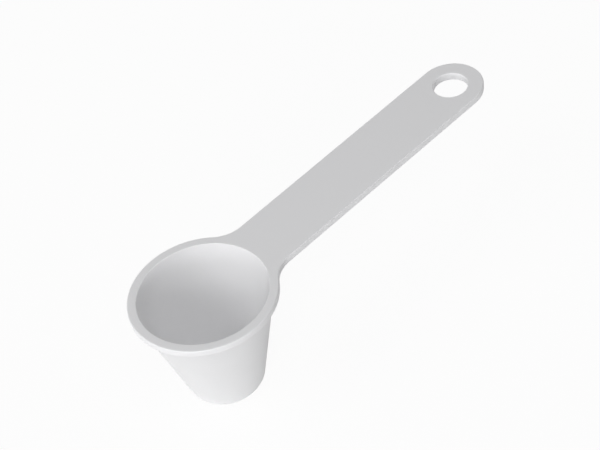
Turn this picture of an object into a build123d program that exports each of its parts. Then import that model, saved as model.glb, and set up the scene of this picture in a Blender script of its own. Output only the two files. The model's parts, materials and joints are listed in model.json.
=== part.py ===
from build123d import *
from math import atan2, degrees, sqrt
import os

# A 15 ml kitchen measuring spoon, injection moulded in one shot of white plastic.
# A tapered cup stands upright, and a flat handle leaves its rim level with the rim's top.
# Millimetres. The origin is the centre of the cup's base, where it rests on a table.
# +Z runs up the cup's axis, and +X runs along the handle towards the hang hole.

# Cup, with the wall measured level
mouth_radius = 16.3
cup_height = 32.0
base_radius = 9.2
wall_thickness = 1.15
floor_thickness = 1.5
base_corner_radius = 3.5
floor_corner_radius = 2.3

# Rim ring round the mouth, which stands out past the cup's wall
rim_overhang = 1.15
rim_thickness = 2.3

# Handle, a plate as thick as the rim, with a hang hole at the centre of its round tip
handle_width = 17.2
hole_offset = 89.1
hole_radius = 4.5
flare_radius = 8.5

# Edges of the rim and the handle: rounded above, and eased by narrow bevels elsewhere
top_edge_radius = 0.35
under_edge_bevel = 0.3
neck_bevel = 0.5
lip_bevel = 0.3
hole_bevel = 0.3

# Underside of the base: a foot ring round a shallow recess
foot_ring_width = 1.4
recess_depth = 0.4

# How far a cutting shape runs past the surface that it cuts
cut_overrun = 1.0

# Levels, radii and the wall's taper that follow from those sizes
half_width = handle_width / 2
rim_radius = mouth_radius + wall_thickness + rim_overhang
rim_underside = cup_height - rim_thickness
rim_middle = cup_height - rim_thickness / 2
taper = (mouth_radius + wall_thickness - base_radius) / cup_height

# Each flare touches the rim's circle and the handle's straight side, which sets its centre
flare_centre_y = half_width + flare_radius
flare_centre_x = sqrt((rim_radius + flare_radius) ** 2 - flare_centre_y**2)
flare_angle = degrees(atan2(flare_centre_y, flare_centre_x))

# The handle begins where its sides become straight
seam_x = flare_centre_x


def outer_radius(height):
    """Radius of the cup's outer wall at a height above the table."""
    return base_radius + taper * height


def inner_radius(height):
    """Radius of the cavity's wall at a height above the table."""
    return outer_radius(height) - wall_thickness


def turned(corners, round_at=None, radius=None):
    """A solid turned about the Z axis from corners given as radius and height, one of them rounded."""
    points = [Vector(across, 0, up) for across, up in corners]
    profile = make_face(Polyline(*points, close=True))
    if round_at is not None:
        profile = fillet(profile.vertices().sort_by_distance(points[round_at])[0], radius)
    return revolve(profile, Axis.Z)


def plate(outline):
    """A plate of the rim's thickness, rounded above and bevelled below. Its seam along Y stays sharp."""
    blank = Pos(0, 0, rim_underside) * extrude(outline, rim_thickness)
    top_edges = blank.edges().group_by(Axis.Z)[-1].filter_by(Axis.Y, reverse=True)
    blank = fillet(top_edges, top_edge_radius)
    under_edges = blank.edges().group_by(Axis.Z)[0].filter_by(Axis.Y, reverse=True)
    return chamfer(under_edges, under_edge_bevel)


def rim():
    """The ring's disc, opened towards the handle by a concave flare on each side."""
    circle = CenterArc((0, 0), rim_radius, flare_angle, 360 - 2 * flare_angle)
    flare_centre = (flare_centre_x, flare_centre_y)
    flare = CenterArc(flare_centre, flare_radius, 180 + flare_angle, 90 - flare_angle)
    seam = Line((seam_x, half_width), (seam_x, -half_width))
    return plate(make_face([circle, flare, mirror(flare, Plane.XZ), seam]))


def bowl():
    """The cup's tapered outside, solid, with its neck widened by a bevel under the rim."""
    neck_level = rim_underside - neck_bevel
    neck_radius = outer_radius(neck_level)
    corners = [
        (0, 0),
        (base_radius, 0),
        (neck_radius, neck_level),
        (neck_radius + neck_bevel, rim_underside),
        (neck_radius + neck_bevel, rim_middle),
        (0, rim_middle),
    ]
    return turned(corners, round_at=1, radius=base_corner_radius)


def cavity():
    """The measured space, from its rounded floor out past the bevelled lip."""
    lip_level = cup_height - lip_bevel
    corners = [
        (0, floor_thickness),
        (inner_radius(floor_thickness), floor_thickness),
        (inner_radius(lip_level), lip_level),
        (mouth_radius + lip_bevel, cup_height),
        (mouth_radius + lip_bevel, cup_height + cut_overrun),
        (0, cup_height + cut_overrun),
    ]
    return turned(corners, round_at=1, radius=floor_corner_radius)


def base_recess():
    """The shallow hollow under the base, inside the foot ring."""
    flat_radius = base_radius - base_corner_radius * (sqrt(1 + taper**2) - taper)
    recess_radius = flat_radius - foot_ring_width
    corners = [
        (0, -cut_overrun),
        (recess_radius, -cut_overrun),
        (recess_radius, recess_depth),
        (0, recess_depth),
    ]
    return turned(corners)


def hang_hole():
    """The hole through the handle's tip, with a bevel at each of its edges."""
    wide_radius = hole_radius + hole_bevel
    corners = [
        (0, rim_underside - cut_overrun),
        (wide_radius, rim_underside - cut_overrun),
        (wide_radius, rim_underside),
        (hole_radius, rim_underside + hole_bevel),
        (hole_radius, cup_height - hole_bevel),
        (wide_radius, cup_height),
        (wide_radius, cup_height + cut_overrun),
        (0, cup_height + cut_overrun),
    ]
    return Pos(hole_offset, 0, 0) * turned(corners)


def handle_bar():
    """Straight sides from the seam to a round tip about the hang hole."""
    side = Line((seam_x, half_width), (hole_offset, half_width))
    tip = CenterArc((hole_offset, 0), half_width, -90, 180)
    seam = Line((seam_x, half_width), (seam_x, -half_width))
    return plate(make_face([side, tip, mirror(side, Plane.XZ), seam]))


cup = rim() + bowl() - cavity() - base_recess()
handle = handle_bar() - hang_hole()

os.makedirs("parts", exist_ok=True)
export_step(cup, "parts/cup.step")
export_step(handle, "parts/handle.step")
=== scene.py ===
import json
from math import acos, atan2, cos, pi, radians, sin, sqrt, tan

import bmesh
import bpy
from bpy.props import FloatProperty, FloatVectorProperty, IntProperty, PointerProperty
from mathutils import Matrix, Vector


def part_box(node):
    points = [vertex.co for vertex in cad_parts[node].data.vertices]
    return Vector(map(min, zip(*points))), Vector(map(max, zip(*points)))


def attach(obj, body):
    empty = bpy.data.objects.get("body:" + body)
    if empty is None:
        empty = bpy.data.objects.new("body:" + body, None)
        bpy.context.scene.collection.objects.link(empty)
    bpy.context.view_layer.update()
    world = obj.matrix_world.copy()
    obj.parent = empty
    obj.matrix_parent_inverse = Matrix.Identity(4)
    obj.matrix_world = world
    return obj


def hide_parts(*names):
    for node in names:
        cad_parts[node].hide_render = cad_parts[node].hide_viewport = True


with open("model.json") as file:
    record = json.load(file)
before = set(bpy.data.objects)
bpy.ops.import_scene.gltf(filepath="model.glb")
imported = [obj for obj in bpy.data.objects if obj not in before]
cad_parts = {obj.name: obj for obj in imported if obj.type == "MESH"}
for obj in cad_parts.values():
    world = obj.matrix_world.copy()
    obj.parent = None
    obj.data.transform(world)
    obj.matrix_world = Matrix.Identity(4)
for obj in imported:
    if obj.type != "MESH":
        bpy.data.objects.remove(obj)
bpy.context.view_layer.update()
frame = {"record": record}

# The looks of a moulded plastic measuring spoon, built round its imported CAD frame.
# Metres. The origin is the centre of the cup's base, +Z is up, and +X runs along the handle.
# The spoon is one moulding. Its two pieces meet, flush, where the handle's sides become straight.

bl_info = {
    "name": "Moulded measuring spoon",
    "version": (1, 0, 0),
    "blender": (4, 5, 0),
    "location": "3D View > Sidebar > Spoon",
    "description": "Builds a white moulded measuring spoon, its finish and its studio",
    "category": "Add Mesh",
}

MM = 0.001
SLOT = "white_plastic"

# Edges that fold by more than this stay sharp
SHARP_ANGLE = radians(40)

# Width of the sensor, in the millimetres that a Blender camera is set in
SENSOR_WIDTH = 36

# Where each lamp stands: turn from the camera's direction, height as an angle, and width in metres
LAMPS = {
    "left_lamp": (radians(-80), radians(45), 0.9),
    "high_lamp": (radians(20), radians(62), 0.9),
    "front_lamp": (radians(-20), radians(20), 0.6),
    "low_lamp": (radians(-20), radians(6), 0.28),
    "back_lamp": (radians(150), radians(12), 0.5),
}

# How the hairline marks run: turn of their direction on the plan, and their spacing
HAIRLINES = ((radians(24), 0.9 * MM), (radians(-63), 1.1 * MM))

# Scales of a hairline pattern along its X, Y and Z. The small one draws its lumps out into long marks
HAIRLINE_SCALES = (0.06, 1, 1)

# Levels of a pattern between which a hairline, a smudge and the drift of colour fade in
HAIRLINE_LEVELS = (0.70, 0.76)
SMUDGE_LEVELS = (0.45, 0.75)
DRIFT_LEVELS = (0.25, 0.75)

# Places and outer sizes that the frame gives
cup_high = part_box("cup")[1]
handle_low, handle_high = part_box("handle")
mounts = {mount["name"]: mount for mount in frame["record"]["mounts"]}

CUP_HEIGHT = cup_high.z
RIM_UNDERSIDE = handle_low.z
RIM_RADIUS = cup_high.y
SEAM_X = handle_low.x
HALF_WIDTH = handle_high.y
HOLE_X = mounts["hang_hole"]["pos_m"][0]
HOLE_RADIUS = mounts["hang_hole"]["dims"]["r_mm"] * MM
PLASTIC_COLOUR = {each["slot"]: each["base_color"] for each in frame["record"]["materials"]}[SLOT]


class SpoonSizes(bpy.types.PropertyGroup):
    """Sizes of the moulding that its outer box doesn't give."""

    mouth_radius: FloatProperty(
        name="Mouth radius", description="Radius of the cup's mouth, level with the rim's top",
        default=16.3 * MM, unit="LENGTH")
    base_radius: FloatProperty(
        name="Base radius", description="Radius of the cup's base before its corner is rounded",
        default=9.2 * MM, unit="LENGTH")
    wall: FloatProperty(
        name="Wall", description="Thickness of the cup's wall, measured level",
        default=1.15 * MM, unit="LENGTH")
    floor: FloatProperty(
        name="Floor", description="Height of the cup's floor above the table",
        default=1.5 * MM, unit="LENGTH")
    base_corner: FloatProperty(
        name="Base corner", description="Radius of the rounded corner round the base",
        default=3.5 * MM, unit="LENGTH")
    floor_corner: FloatProperty(
        name="Floor corner", description="Radius of the rounded corner round the floor",
        default=2.3 * MM, unit="LENGTH")
    lip: FloatProperty(
        name="Lip", description="Radius of the softened edge of the mouth",
        default=0.2 * MM, unit="LENGTH")
    neck: FloatProperty(
        name="Neck", description="Radius of the hollow corner under the rim",
        default=0.9 * MM, unit="LENGTH")
    top_edge: FloatProperty(
        name="Top edge", description="Radius of the upper edge of the rim and the handle",
        default=0.35 * MM, unit="LENGTH")
    under_edge: FloatProperty(
        name="Under edge", description="Radius of the lower edge of the rim and the handle",
        default=0.7 * MM, unit="LENGTH")
    side_draft: FloatProperty(
        name="Side draft", description="Slope by which the rim's and handle's sides draw in downwards",
        default=radians(4), subtype="ANGLE")
    hole_edge: FloatProperty(
        name="Hole edge", description="Radius of the hang hole's two edges",
        default=0.35 * MM, unit="LENGTH")
    foot_ring: FloatProperty(
        name="Foot ring", description="Width of the ring on which the cup stands",
        default=1.4 * MM, unit="LENGTH")
    recess: FloatProperty(
        name="Recess", description="Depth of the hollow inside the foot ring",
        default=0.4 * MM, unit="LENGTH")
    gate_radius: FloatProperty(
        name="Gate radius", description="Radius of the stub where the mould was fed",
        default=0.9 * MM, unit="LENGTH")
    gate_height: FloatProperty(
        name="Gate height", description="How far the stub stands out of the recess",
        default=0.25 * MM, unit="LENGTH")
    fine_corner: FloatProperty(
        name="Fine corner", description="Radius of the small corners under the base",
        default=0.08 * MM, unit="LENGTH")


class SpoonDetail(bpy.types.PropertyGroup):
    """How finely the meshes are divided."""

    rim_steps: IntProperty(
        name="Rim", description="Faces along the rim's circle", default=132, min=12)
    flare_steps: IntProperty(
        name="Flare", description="Faces along each flare", default=20, min=2)
    seam_steps: IntProperty(
        name="Seam", description="Faces across the seam", default=14, min=2)
    tip_steps: IntProperty(
        name="Tip", description="Faces round the handle's tip", default=72, min=8)
    side_steps: IntProperty(
        name="Side", description="Faces along each side of the handle", default=30, min=2)
    corner_steps: IntProperty(
        name="Corner", description="Faces across each rounded corner", default=8, min=2)
    fine_steps: IntProperty(
        name="Fine corner", description="Faces across each small corner", default=3, min=2)
    wall_steps: IntProperty(
        name="Wall", description="Faces up the cup's wall", default=14, min=1)


class SpoonFinish(bpy.types.PropertyGroup):
    """Colour and surface of the plastic."""

    colour: FloatVectorProperty(
        name="Colour", description="Base colour of the plastic",
        default=PLASTIC_COLOUR, size=3, subtype="COLOR", min=0, max=1)
    clouding: FloatProperty(
        name="Clouding", description="Share by which the colour drifts over the moulding",
        default=0.022, subtype="FACTOR", min=0, max=1)
    cloud_size: FloatProperty(
        name="Cloud size", description="Spacing of the slow drift of colour",
        default=24 * MM, unit="LENGTH")
    grain_share: FloatProperty(
        name="Grain share", description="Part of the fine texture in the drift of colour",
        default=0.2, subtype="FACTOR", min=0, max=1)
    refraction: FloatProperty(
        name="Refraction", description="Refractive index of the plastic", default=1.49, min=1)
    roughness: FloatProperty(
        name="Roughness", description="Roughness of the satin surface",
        default=0.46, subtype="FACTOR", min=0, max=1)
    grain_roughness: FloatProperty(
        name="Grain roughness", description="How far the fine texture varies the roughness",
        default=0.10, subtype="FACTOR", min=0, max=1)
    smudge_size: FloatProperty(
        name="Smudge size", description="Spacing of the dull smudges",
        default=6 * MM, unit="LENGTH")
    smudge_roughness: FloatProperty(
        name="Smudge roughness", description="Roughness that a smudge adds",
        default=0.05, subtype="FACTOR", min=0, max=1)
    scratch_polish: FloatProperty(
        name="Scratch polish", description="Roughness that a hairline mark takes away",
        default=0.08, subtype="FACTOR", min=0, max=1)
    texture_size: FloatProperty(
        name="Texture size", description="Spacing of the mould's fine texture",
        default=0.32 * MM, unit="LENGTH")
    texture_depth: FloatProperty(
        name="Texture depth", description="Depth of the mould's fine texture",
        default=0.006 * MM, unit="LENGTH", precision=6)
    ripple_size: FloatProperty(
        name="Ripple size", description="Spacing of the slow waves left as the plastic cooled",
        default=9 * MM, unit="LENGTH")
    ripple_depth: FloatProperty(
        name="Ripple depth", description="Depth of the slow waves",
        default=0.02 * MM, unit="LENGTH", precision=6)
    scratch_depth: FloatProperty(
        name="Scratch depth", description="Depth of the hairline marks of use",
        default=0.004 * MM, unit="LENGTH", precision=6)
    light_reach: FloatProperty(
        name="Light reach", description="How far light strays inside the cup's thin wall",
        default=1.5 * MM, unit="LENGTH", precision=5)


class StudioSettings(bpy.types.PropertyGroup):
    """Floor, lamps and camera. Angles round the spoon are measured from the handle's direction."""

    aim: FloatVectorProperty(
        name="Aim", description="Point on the level of the rim's top that the camera faces",
        default=(30.04 * MM, -3.39 * MM, CUP_HEIGHT), size=3, subtype="TRANSLATION", unit="LENGTH")
    distance: FloatProperty(
        name="Distance", description="From the camera to the point that it faces",
        default=487.7 * MM, unit="LENGTH")
    azimuth: FloatProperty(
        name="Azimuth", description="Direction in which the camera stands, from the handle's",
        default=radians(-125.66), subtype="ANGLE")
    elevation: FloatProperty(
        name="Elevation", description="Height of the camera above the horizon, as an angle",
        default=radians(44.32), subtype="ANGLE")
    roll: FloatProperty(
        name="Roll", description="Turn of the camera about its own line of sight",
        default=radians(-13.51), subtype="ANGLE")
    lens: FloatProperty(
        name="Lens", description="Focal length in millimetres, for the sensor's width",
        default=120.0, min=1)
    floor_size: FloatProperty(
        name="Floor size", description="Side of the pale floor", default=6.0, unit="LENGTH")
    floor_colour: FloatVectorProperty(
        name="Floor colour", description="Colour of the pale floor",
        default=(0.9, 0.9, 0.9), size=3, subtype="COLOR", min=0, max=1)
    floor_glow: FloatProperty(
        name="Floor glow", description="Share of plain white that the camera sees in the floor",
        default=0.94, subtype="FACTOR", min=0, max=1)
    sky: FloatProperty(
        name="Sky", description="Strength of the even light from all round", default=0.16, min=0)
    lamp_distance: FloatProperty(
        name="Lamp distance", description="From the cup's base to each lamp",
        default=1.4, unit="LENGTH")
    left_lamp: FloatProperty(
        name="Left lamp", description="Strength of the large lamp on the camera's left",
        default=0.312, min=0)
    high_lamp: FloatProperty(
        name="High lamp", description="Strength of the large lamp high above the camera",
        default=0.224, min=0)
    front_lamp: FloatProperty(
        name="Front lamp", description="Strength of the lamp in front, a little below the camera",
        default=0.262, min=0)
    low_lamp: FloatProperty(
        name="Low lamp", description="Strength of the lamp in front, just above the floor",
        default=0.216, min=0)
    back_lamp: FloatProperty(
        name="Back lamp", description="Strength of the low lamp behind the spoon",
        default=0.1, min=0)


# Profiles and outlines

def eased(corners, steps):
    """Points along straight lines between corners, each given as (across, up, radius of rounding)."""
    points = [Vector(corners[0][:2])]
    for before, corner, after in zip(corners, corners[1:], corners[2:]):
        tip = Vector(corner[:2])
        back = (Vector(before[:2]) - tip).normalized()
        ahead = (Vector(after[:2]) - tip).normalized()
        half = acos(back.dot(ahead)) / 2
        reach = corner[2] / tan(half)
        centre = tip + (back + ahead).normalized() * corner[2] / sin(half)
        first, last = tip + back * reach - centre, tip + ahead * reach - centre
        turn = first.angle(last)
        for k in range(steps + 1):
            share = k / steps
            near, far = sin((1 - share) * turn), sin(share * turn)
            points.append(centre + (first * near + last * far) / sin(turn))
    return points + [Vector(corners[-1][:2])]


def divided(points, start, steps):
    """The same points, with the straight stretch after one of them cut into equal steps."""
    a, b = points[start], points[start + 1]
    extra = [a.lerp(b, k / steps) for k in range(1, steps)]
    return points[:start + 1] + extra + points[start + 1:]


class Column:
    """One place along an outline: where its edge stands, and which way that edge faces."""

    def __init__(self, point, facing):
        self.point = Vector(point)
        self.facing = Vector(facing)

    def inset(self, depth):
        """The place on the plan at a depth inside the outline."""
        return self.point - self.facing * depth


def arc(centre, radius, start, end, steps, hollow=False):
    """Columns along an arc, its two ends included. A hollow arc faces its own centre."""
    columns = []
    for k in range(steps + 1):
        angle = start + (end - start) * k / steps
        out = Vector((cos(angle), sin(angle)))
        columns.append(Column(Vector(centre) + out * radius, -out if hollow else out))
    return columns


def seam_columns(steps, towards):
    """Columns between the seam's two ends, towards +Y or -Y. Depth moves them along Y alone."""
    shares = [towards * (2 * k / steps - 1) for k in range(1, steps)]
    return [Column((SEAM_X, share * HALF_WIDTH), (0, share)) for share in shares]


def flare_radius_from_frame():
    """The flare touches the rim's circle and the handle's side at the seam, which sets its radius."""
    gap = RIM_RADIUS - HALF_WIDTH
    return (SEAM_X ** 2 + HALF_WIDTH ** 2 - RIM_RADIUS ** 2) / (2 * gap)


def rim_outline(detail):
    """Columns of the cup's plate, anticlockwise from the seam's +Y end: flare, circle, flare, seam."""
    radius = flare_radius_from_frame()
    centre = Vector((SEAM_X, HALF_WIDTH + radius))
    angle = atan2(centre.y, centre.x)
    first = arc(centre, radius, 1.5 * pi, pi + angle, detail.flare_steps, hollow=True)
    circle = arc((0, 0), RIM_RADIUS, angle, 2 * pi - angle, detail.rim_steps)
    last = arc((centre.x, -centre.y), radius, pi - angle, 0.5 * pi, detail.flare_steps, hollow=True)
    seam = seam_columns(detail.seam_steps, 1)
    return first[:-1] + circle + last[1:] + seam


def handle_outline(detail):
    """Columns of the handle's plate, anticlockwise from the seam's -Y end: side, tip, side and seam.
    Those of a side stand at equal angles round the hang hole, from which the faces fan out."""
    corner = atan2(HALF_WIDTH, SEAM_X - HOLE_X)
    side = []
    for k in range(detail.side_steps):
        angle = corner + (0.5 * pi - corner) * k / detail.side_steps
        side.append(HOLE_X + HALF_WIDTH / tan(angle))
    lower = [Column((x, -HALF_WIDTH), (0, -1)) for x in side]
    tip = arc((HOLE_X, 0), HALF_WIDTH, -0.5 * pi, 0.5 * pi, detail.tip_steps)
    upper = [Column((x, HALF_WIDTH), (0, 1)) for x in reversed(side)]
    seam = seam_columns(detail.seam_steps, -1)
    return lower + tip + upper + seam


def plate_edge(sizes, detail):
    """The edge of the rim and handle as (depth inside the outline, height), from the top down."""
    draw = (CUP_HEIGHT - RIM_UNDERSIDE) * tan(sizes.side_draft)
    corners = [
        (HALF_WIDTH, CUP_HEIGHT, 0),
        (0, CUP_HEIGHT, sizes.top_edge),
        (draw, RIM_UNDERSIDE, sizes.under_edge),
        (HALF_WIDTH, RIM_UNDERSIDE, 0),
    ]
    return eased(corners, detail.corner_steps)[1:-1]


# Meshes

class Skin:
    """A closed mesh made of loops, each with one corner for every column of an outline."""

    def __init__(self, columns, axis):
        self.mesh = bmesh.new()
        self.columns = columns
        self.axis = Vector(axis)
        self.loops = []
        self.thin = []

    def add_loop(self, places, height, thin=False):
        self.loops.append([self.mesh.verts.new((place.x, place.y, height)) for place in places])
        self.thin.append(thin)

    def add_turned(self, profile, thin=False):
        """Loops round the axis, from a profile given as (radius, height). Radius 0 gives one point.
        Faces between two thin loops take the second material, which lets some light through."""
        ways = [(column.point - self.axis).normalized() for column in self.columns]
        for radius, height in profile:
            around = ways if radius > 0 else ways[:1]
            self.add_loop([self.axis + way * radius for way in around], height, thin)

    def add_edge(self, profile):
        """Loops that follow the outline, from a profile given as (depth inside it, height)."""
        for depth, height in profile:
            self.add_loop([column.inset(depth) for column in self.columns], height)

    def join(self, first, second):
        """Faces between two loops, as a fan where one of them is a single point."""
        upper, lower = self.loops[first], self.loops[second]
        count = len(self.columns)
        for k in range(count):
            after = (k + 1) % count
            corners = [upper[k % len(upper)], lower[k % len(lower)]]
            corners += [lower[after % len(lower)], upper[after % len(upper)]]
            face = self.mesh.faces.new(dict.fromkeys(corners))
            face.material_index = int(self.thin[first] and self.thin[second])

    def finish(self, name, ring):
        """The finished object. A ring's last loop is joined to its first."""
        for k in range(len(self.loops) - 1):
            self.join(k, k + 1)
        if ring:
            self.join(-1, 0)
        bmesh.ops.recalc_face_normals(self.mesh, faces=self.mesh.faces)
        for face in self.mesh.faces:
            face.smooth = True
        for edge in self.mesh.edges:
            edge.smooth = edge.calc_face_angle() < SHARP_ANGLE
        data = bpy.data.meshes.new(name)
        self.mesh.to_mesh(data)
        self.mesh.free()
        piece = bpy.data.objects.new(name, data)
        bpy.context.scene.collection.objects.link(piece)
        shading = piece.modifiers.new("Even shading", "WEIGHTED_NORMAL")
        shading.mode = "FACE_AREA"
        shading.keep_sharp = True
        return piece


def cup_piece(sizes, detail):
    """The cup with its rim ring and flares, from the middle of its floor to the middle of its base."""
    taper = (sizes.mouth_radius + sizes.wall - sizes.base_radius) / CUP_HEIGHT
    floor_radius = sizes.base_radius + taper * sizes.floor - sizes.wall
    neck_radius = sizes.base_radius + taper * RIM_UNDERSIDE
    base_flat = sizes.base_radius - sizes.base_corner * (sqrt(1 + taper ** 2) - taper)
    recess_radius = base_flat - sizes.foot_ring
    stub_level = sizes.recess - sizes.gate_height
    inside = [
        (0, sizes.floor, 0),
        (floor_radius, sizes.floor, sizes.floor_corner),
        (sizes.mouth_radius, CUP_HEIGHT, sizes.lip),
        (RIM_RADIUS, CUP_HEIGHT, 0),
    ]
    outside = [
        (RIM_RADIUS, RIM_UNDERSIDE, 0),
        (neck_radius, RIM_UNDERSIDE, sizes.neck),
        (sizes.base_radius, 0, sizes.base_corner),
        (recess_radius, 0, 0),
    ]
    underneath = [
        (base_flat, 0, 0),
        (recess_radius, 0, sizes.fine_corner),
        (recess_radius, sizes.recess, sizes.fine_corner),
        (sizes.gate_radius, sizes.recess, sizes.fine_corner),
        (sizes.gate_radius, stub_level, sizes.fine_corner),
        (0, stub_level, 0),
    ]
    steps = detail.corner_steps
    # Inside and outside, the wall is the straight stretch after the first rounded corner
    wall_start = steps + 1
    skin = Skin(rim_outline(detail), (0, 0))
    skin.add_turned(divided(eased(inside, steps), wall_start, detail.wall_steps)[:-1], thin=True)
    skin.add_edge(plate_edge(sizes, detail))
    skin.add_turned(divided(eased(outside, steps), wall_start, detail.wall_steps)[1:-1], thin=True)
    skin.add_turned(eased(underneath, detail.fine_steps)[1:], thin=True)
    return skin.finish("spoon_cup", ring=False)


def handle_piece(sizes, detail):
    """The straight handle with its round tip, from the hang hole's wall out over its edge and back."""
    hole = [
        (HALF_WIDTH, RIM_UNDERSIDE, 0),
        (HOLE_RADIUS, RIM_UNDERSIDE, sizes.hole_edge),
        (HOLE_RADIUS, CUP_HEIGHT, sizes.hole_edge),
        (HALF_WIDTH, CUP_HEIGHT, 0),
    ]
    skin = Skin(handle_outline(detail), (HOLE_X, 0))
    skin.add_turned(eased(hole, detail.corner_steps)[1:-1])
    skin.add_edge(plate_edge(sizes, detail))
    return skin.finish("spoon_handle", ring=True)


# Materials

class Wire:
    """A socket in a node tree. Arithmetic on it adds the Math nodes that work it out."""

    def __init__(self, socket):
        self.socket = socket

    @staticmethod
    def add(tree, kind, settings, values, output=0):
        """A new node: first its settings, then a value or a wire for each input. Gives one output."""
        node = tree.nodes.new(kind)
        for name, setting in settings.items():
            setattr(node, name, setting)
        for name, value in values.items():
            if isinstance(value, Wire):
                tree.links.new(value.socket, node.inputs[name])
            else:
                node.inputs[name].default_value = value
        return Wire(node.outputs[output]) if node.outputs else None

    def math(self, operation, first, second):
        tree = self.socket.id_data
        return Wire.add(tree, "ShaderNodeMath", {"operation": operation}, {0: first, 1: second})

    def __add__(self, other):
        return self.math("ADD", self, other)

    def __sub__(self, other):
        return self.math("SUBTRACT", self, other)

    def __rsub__(self, other):
        return self.math("SUBTRACT", other, self)

    def __mul__(self, other):
        return self.math("MULTIPLY", self, other)

    def __or__(self, other):
        """The larger of the two: 1 where either mask is 1."""
        return self.math("MAXIMUM", self, other)

    __radd__ = __add__
    __rmul__ = __mul__


def emptied_tree(owner):
    """The node tree of a material or a world, emptied."""
    owner.use_nodes = True
    owner.node_tree.nodes.clear()
    return owner.node_tree


def mixed(tree, share, first, second):
    """The first colour where the share is 0, the second where it is 1."""
    # By number, because the Mix node has other sockets with the same names for other kinds of value
    values = {0: share, 6: (*first, 1), 7: (*second, 1)}
    return Wire.add(tree, "ShaderNodeMix", {"data_type": "RGBA"}, values, output=2)


def noise(tree, place, spacing, detail=2.0, roughness=0.5):
    """A soft random pattern between 0 and 1 whose lumps lie about one spacing apart."""
    values = {"Vector": place, "Scale": 1 / spacing, "Detail": detail, "Roughness": roughness}
    return Wire.add(tree, "ShaderNodeTexNoise", {}, values, "Fac")


def ramped(tree, value, levels):
    """0 where the value is below the first level, 1 where it is above the second, smooth between."""
    values = {"Value": value, "From Min": levels[0], "From Max": levels[1]}
    return Wire.add(tree, "ShaderNodeMapRange", {"interpolation_type": "SMOOTHSTEP"}, values)


def hairlines(tree, place, turn, spacing):
    """Sparse thin marks of use that run one way: 1 along a mark and 0 elsewhere."""
    values = {"Vector": place, "Rotation": (0, 0, turn), "Scale": HAIRLINE_SCALES}
    stretched = Wire.add(tree, "ShaderNodeMapping", {"vector_type": "POINT"}, values)
    return ramped(tree, noise(tree, stretched, spacing, detail=1.0), HAIRLINE_LEVELS)


def plastic_material(name, finish, thin):
    """White plastic with a fine moulded texture, satin and a little scuffed. Thin walls glow softly."""
    material = bpy.data.materials.new(name)
    tree = emptied_tree(material)
    place = Wire.add(tree, "ShaderNodeTexCoord", {}, {}, "Object")

    cloud = noise(tree, place, finish.cloud_size, detail=3.0)
    grain = noise(tree, place, finish.texture_size, detail=2.0, roughness=0.6)
    ripple = noise(tree, place, finish.ripple_size, detail=1.0)
    smudge = ramped(tree, noise(tree, place, finish.smudge_size, detail=4.0), SMUDGE_LEVELS)
    one_way, other_way = [hairlines(tree, place, turn, spacing) for turn, spacing in HAIRLINES]
    scratch = one_way + other_way

    shade = cloud * (1 - finish.grain_share) + grain * finish.grain_share
    darker = [channel * (1 - finish.clouding) for channel in finish.colour]
    lighter = [channel * (1 + finish.clouding) for channel in finish.colour]
    colour = mixed(tree, ramped(tree, shade, DRIFT_LEVELS), darker, lighter)

    roughness = finish.roughness + (grain - 0.5) * finish.grain_roughness
    roughness = roughness + smudge * finish.smudge_roughness - scratch * finish.scratch_polish
    relief = ripple * finish.ripple_depth + grain * finish.texture_depth
    relief = relief - scratch * finish.scratch_depth
    bump = Wire.add(tree, "ShaderNodeBump", {}, {"Strength": 1.0, "Distance": 1.0, "Height": relief})
    values = {"Base Color": colour, "Roughness": roughness, "Normal": bump, "IOR": finish.refraction}
    if thin:
        values["Subsurface Weight"] = 1.0
        values["Subsurface Radius"] = (1, 1, 1)
        values["Subsurface Scale"] = finish.light_reach
    surface = Wire.add(tree, "ShaderNodeBsdfPrincipled", {}, values)
    Wire.add(tree, "ShaderNodeOutputMaterial", {}, {"Surface": surface})
    return material


def seen_directly(tree):
    """1 for what the camera sees, itself or in a gloss, and 0 for what only lights the scene."""
    rays = ("Is Camera Ray", "Is Glossy Ray", "Is Transmission Ray")
    camera, glossy, clear = [Wire.add(tree, "ShaderNodeLightPath", {}, {}, ray) for ray in rays]
    return camera | glossy | clear


def floor_material(studio):
    """A pale floor that looks nearly white and keeps the spoon's shadow. It is clear from below."""
    material = bpy.data.materials.new("pale_floor")
    tree = emptied_tree(material)
    paint = Wire.add(tree, "ShaderNodeBsdfDiffuse", {}, {"Color": (*studio.floor_colour, 1)})
    white = Wire.add(tree, "ShaderNodeEmission", {}, {"Color": (1, 1, 1, 1), "Strength": 1.0})
    glow = seen_directly(tree) * studio.floor_glow
    above = Wire.add(tree, "ShaderNodeMixShader", {}, {0: glow, 1: paint, 2: white})
    clear = Wire.add(tree, "ShaderNodeBsdfTransparent", {}, {})
    behind = Wire.add(tree, "ShaderNodeNewGeometry", {}, {}, "Backfacing")
    surface = Wire.add(tree, "ShaderNodeMixShader", {}, {0: behind, 1: above, 2: clear})
    Wire.add(tree, "ShaderNodeOutputMaterial", {}, {"Surface": surface})
    return material


# Studio

def direction(azimuth, elevation):
    """A unit vector at an azimuth, counted from the handle's direction, and an elevation."""
    return Vector((cos(elevation) * cos(azimuth), cos(elevation) * sin(azimuth), sin(elevation)))


def facing_back(back):
    """The turn of a lamp or a camera that looks level across the picture and along -back."""
    right = Vector((0, 0, 1)).cross(back).normalized()
    return Matrix((right, back.cross(right), back)).transposed()


def add_floor(studio):
    mesh = bmesh.new()
    half = studio.floor_size / 2
    corners = [mesh.verts.new((x * half, y * half, 0)) for x, y in ((-1, -1), (1, -1), (1, 1), (-1, 1))]
    mesh.faces.new(corners)
    data = bpy.data.meshes.new("floor")
    mesh.to_mesh(data)
    mesh.free()
    data.materials.append(floor_material(studio))
    floor = bpy.data.objects.new("floor", data)
    bpy.context.scene.collection.objects.link(floor)


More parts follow.
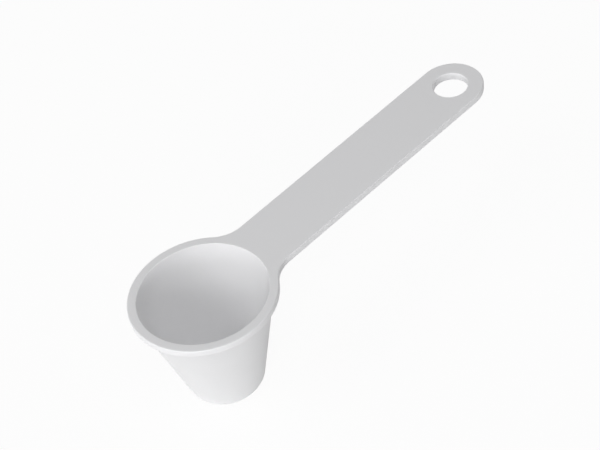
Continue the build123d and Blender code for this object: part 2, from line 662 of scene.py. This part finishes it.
def add_lamp(studio, name):
    """A round soft lamp. Strength 1 alone would show a white face turned towards it as full white."""
    turn, elevation, width = LAMPS[name]
    distance = studio.lamp_distance
    data = bpy.data.lights.new(name, "AREA")
    data.shape = "DISK"
    data.size = width
    data.energy = getattr(studio, name) * pi ** 2 * distance ** 2
    lamp = bpy.data.objects.new(name, data)
    back = direction(studio.azimuth + turn, elevation)
    lamp.matrix_world = Matrix.Translation(back * distance) @ facing_back(back).to_4x4()
    bpy.context.scene.collection.objects.link(lamp)


def add_world(studio):
    """Even light from all round, which the camera sees as plain white."""
    world = bpy.data.worlds.new("studio")
    tree = emptied_tree(world)
    seen = seen_directly(tree)
    strength = seen + (1 - seen) * studio.sky
    values = {"Color": (1, 1, 1, 1), "Strength": strength}
    light = Wire.add(tree, "ShaderNodeBackground", {}, values)
    Wire.add(tree, "ShaderNodeOutputWorld", {}, {"Surface": light})
    bpy.context.scene.world = world


def add_camera(studio):
    back = direction(studio.azimuth, studio.elevation)
    data = bpy.data.cameras.new("camera")
    data.sensor_width = SENSOR_WIDTH
    data.lens = studio.lens
    camera = bpy.data.objects.new("camera", data)
    place = Matrix.Translation(Vector(studio.aim) + back * studio.distance)
    turn = facing_back(back) @ Matrix.Rotation(studio.roll, 3, "Z")
    camera.matrix_world = place @ turn.to_4x4()
    bpy.context.scene.collection.objects.link(camera)
    bpy.context.scene.camera = camera


# Operators

def dress(piece, node, finish):
    """Finishes the piece in the plastic and puts it in place of its CAD node."""
    solid = bpy.data.materials.get("white_plastic")
    if solid is None:
        solid = plastic_material("white_plastic", finish, thin=False)
    piece.data.materials.append(solid)
    if node == "cup":
        piece.data.materials.append(plastic_material("white_plastic_wall", finish, thin=True))
    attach(piece, "root")
    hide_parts(node)


class SPOON_OT_cup(bpy.types.Operator):
    """Build the cup with its rim ring and flares"""

    bl_idname = "spoon.cup"
    bl_label = "Cup"

    def execute(self, context):
        scene = context.scene
        dress(cup_piece(scene.spoon_sizes, scene.spoon_detail), "cup", scene.spoon_finish)
        return {"FINISHED"}


class SPOON_OT_handle(bpy.types.Operator):
    """Build the handle with its round tip and hang hole"""

    bl_idname = "spoon.handle"
    bl_label = "Handle"

    def execute(self, context):
        scene = context.scene
        dress(handle_piece(scene.spoon_sizes, scene.spoon_detail), "handle", scene.spoon_finish)
        return {"FINISHED"}


class SPOON_OT_studio(bpy.types.Operator):
    """Set up the pale floor, the soft lamps and the camera"""

    bl_idname = "spoon.studio"
    bl_label = "Studio"

    def execute(self, context):
        studio = context.scene.spoon_studio
        context.scene.view_settings.view_transform = "Standard"
        add_floor(studio)
        add_world(studio)
        for name in LAMPS:
            add_lamp(studio, name)
        add_camera(studio)
        return {"FINISHED"}


class SPOON_PT_panel(bpy.types.Panel):
    """Lists the steps and the sizes of the spoon"""

    bl_idname = "SPOON_PT_panel"
    bl_label = "Measuring spoon"
    bl_space_type = "VIEW_3D"
    bl_region_type = "UI"
    bl_category = "Spoon"

    def draw(self, context):
        for operator in OPERATORS:
            self.layout.operator(operator.bl_idname)
        for name in GROUPS:
            group = getattr(context.scene, name)
            box = self.layout.box()
            for key in group.__annotations__:
                box.prop(group, key)


OPERATORS = (SPOON_OT_cup, SPOON_OT_handle, SPOON_OT_studio)
GROUPS = {
    "spoon_sizes": SpoonSizes,
    "spoon_detail": SpoonDetail,
    "spoon_finish": SpoonFinish,
    "spoon_studio": StudioSettings,
}
CLASSES = (*GROUPS.values(), *OPERATORS, SPOON_PT_panel)


def register():
    for each in CLASSES:
        bpy.utils.register_class(each)
    for name, group in GROUPS.items():
        setattr(bpy.types.Scene, name, PointerProperty(type=group))


def unregister():
    for name in GROUPS:
        delattr(bpy.types.Scene, name)
    for each in reversed(CLASSES):
        bpy.utils.unregister_class(each)


def main():
    register()
    bpy.ops.spoon.cup()
    bpy.ops.spoon.handle()
    bpy.ops.spoon.studio()


if __name__ == "__main__":
    main()
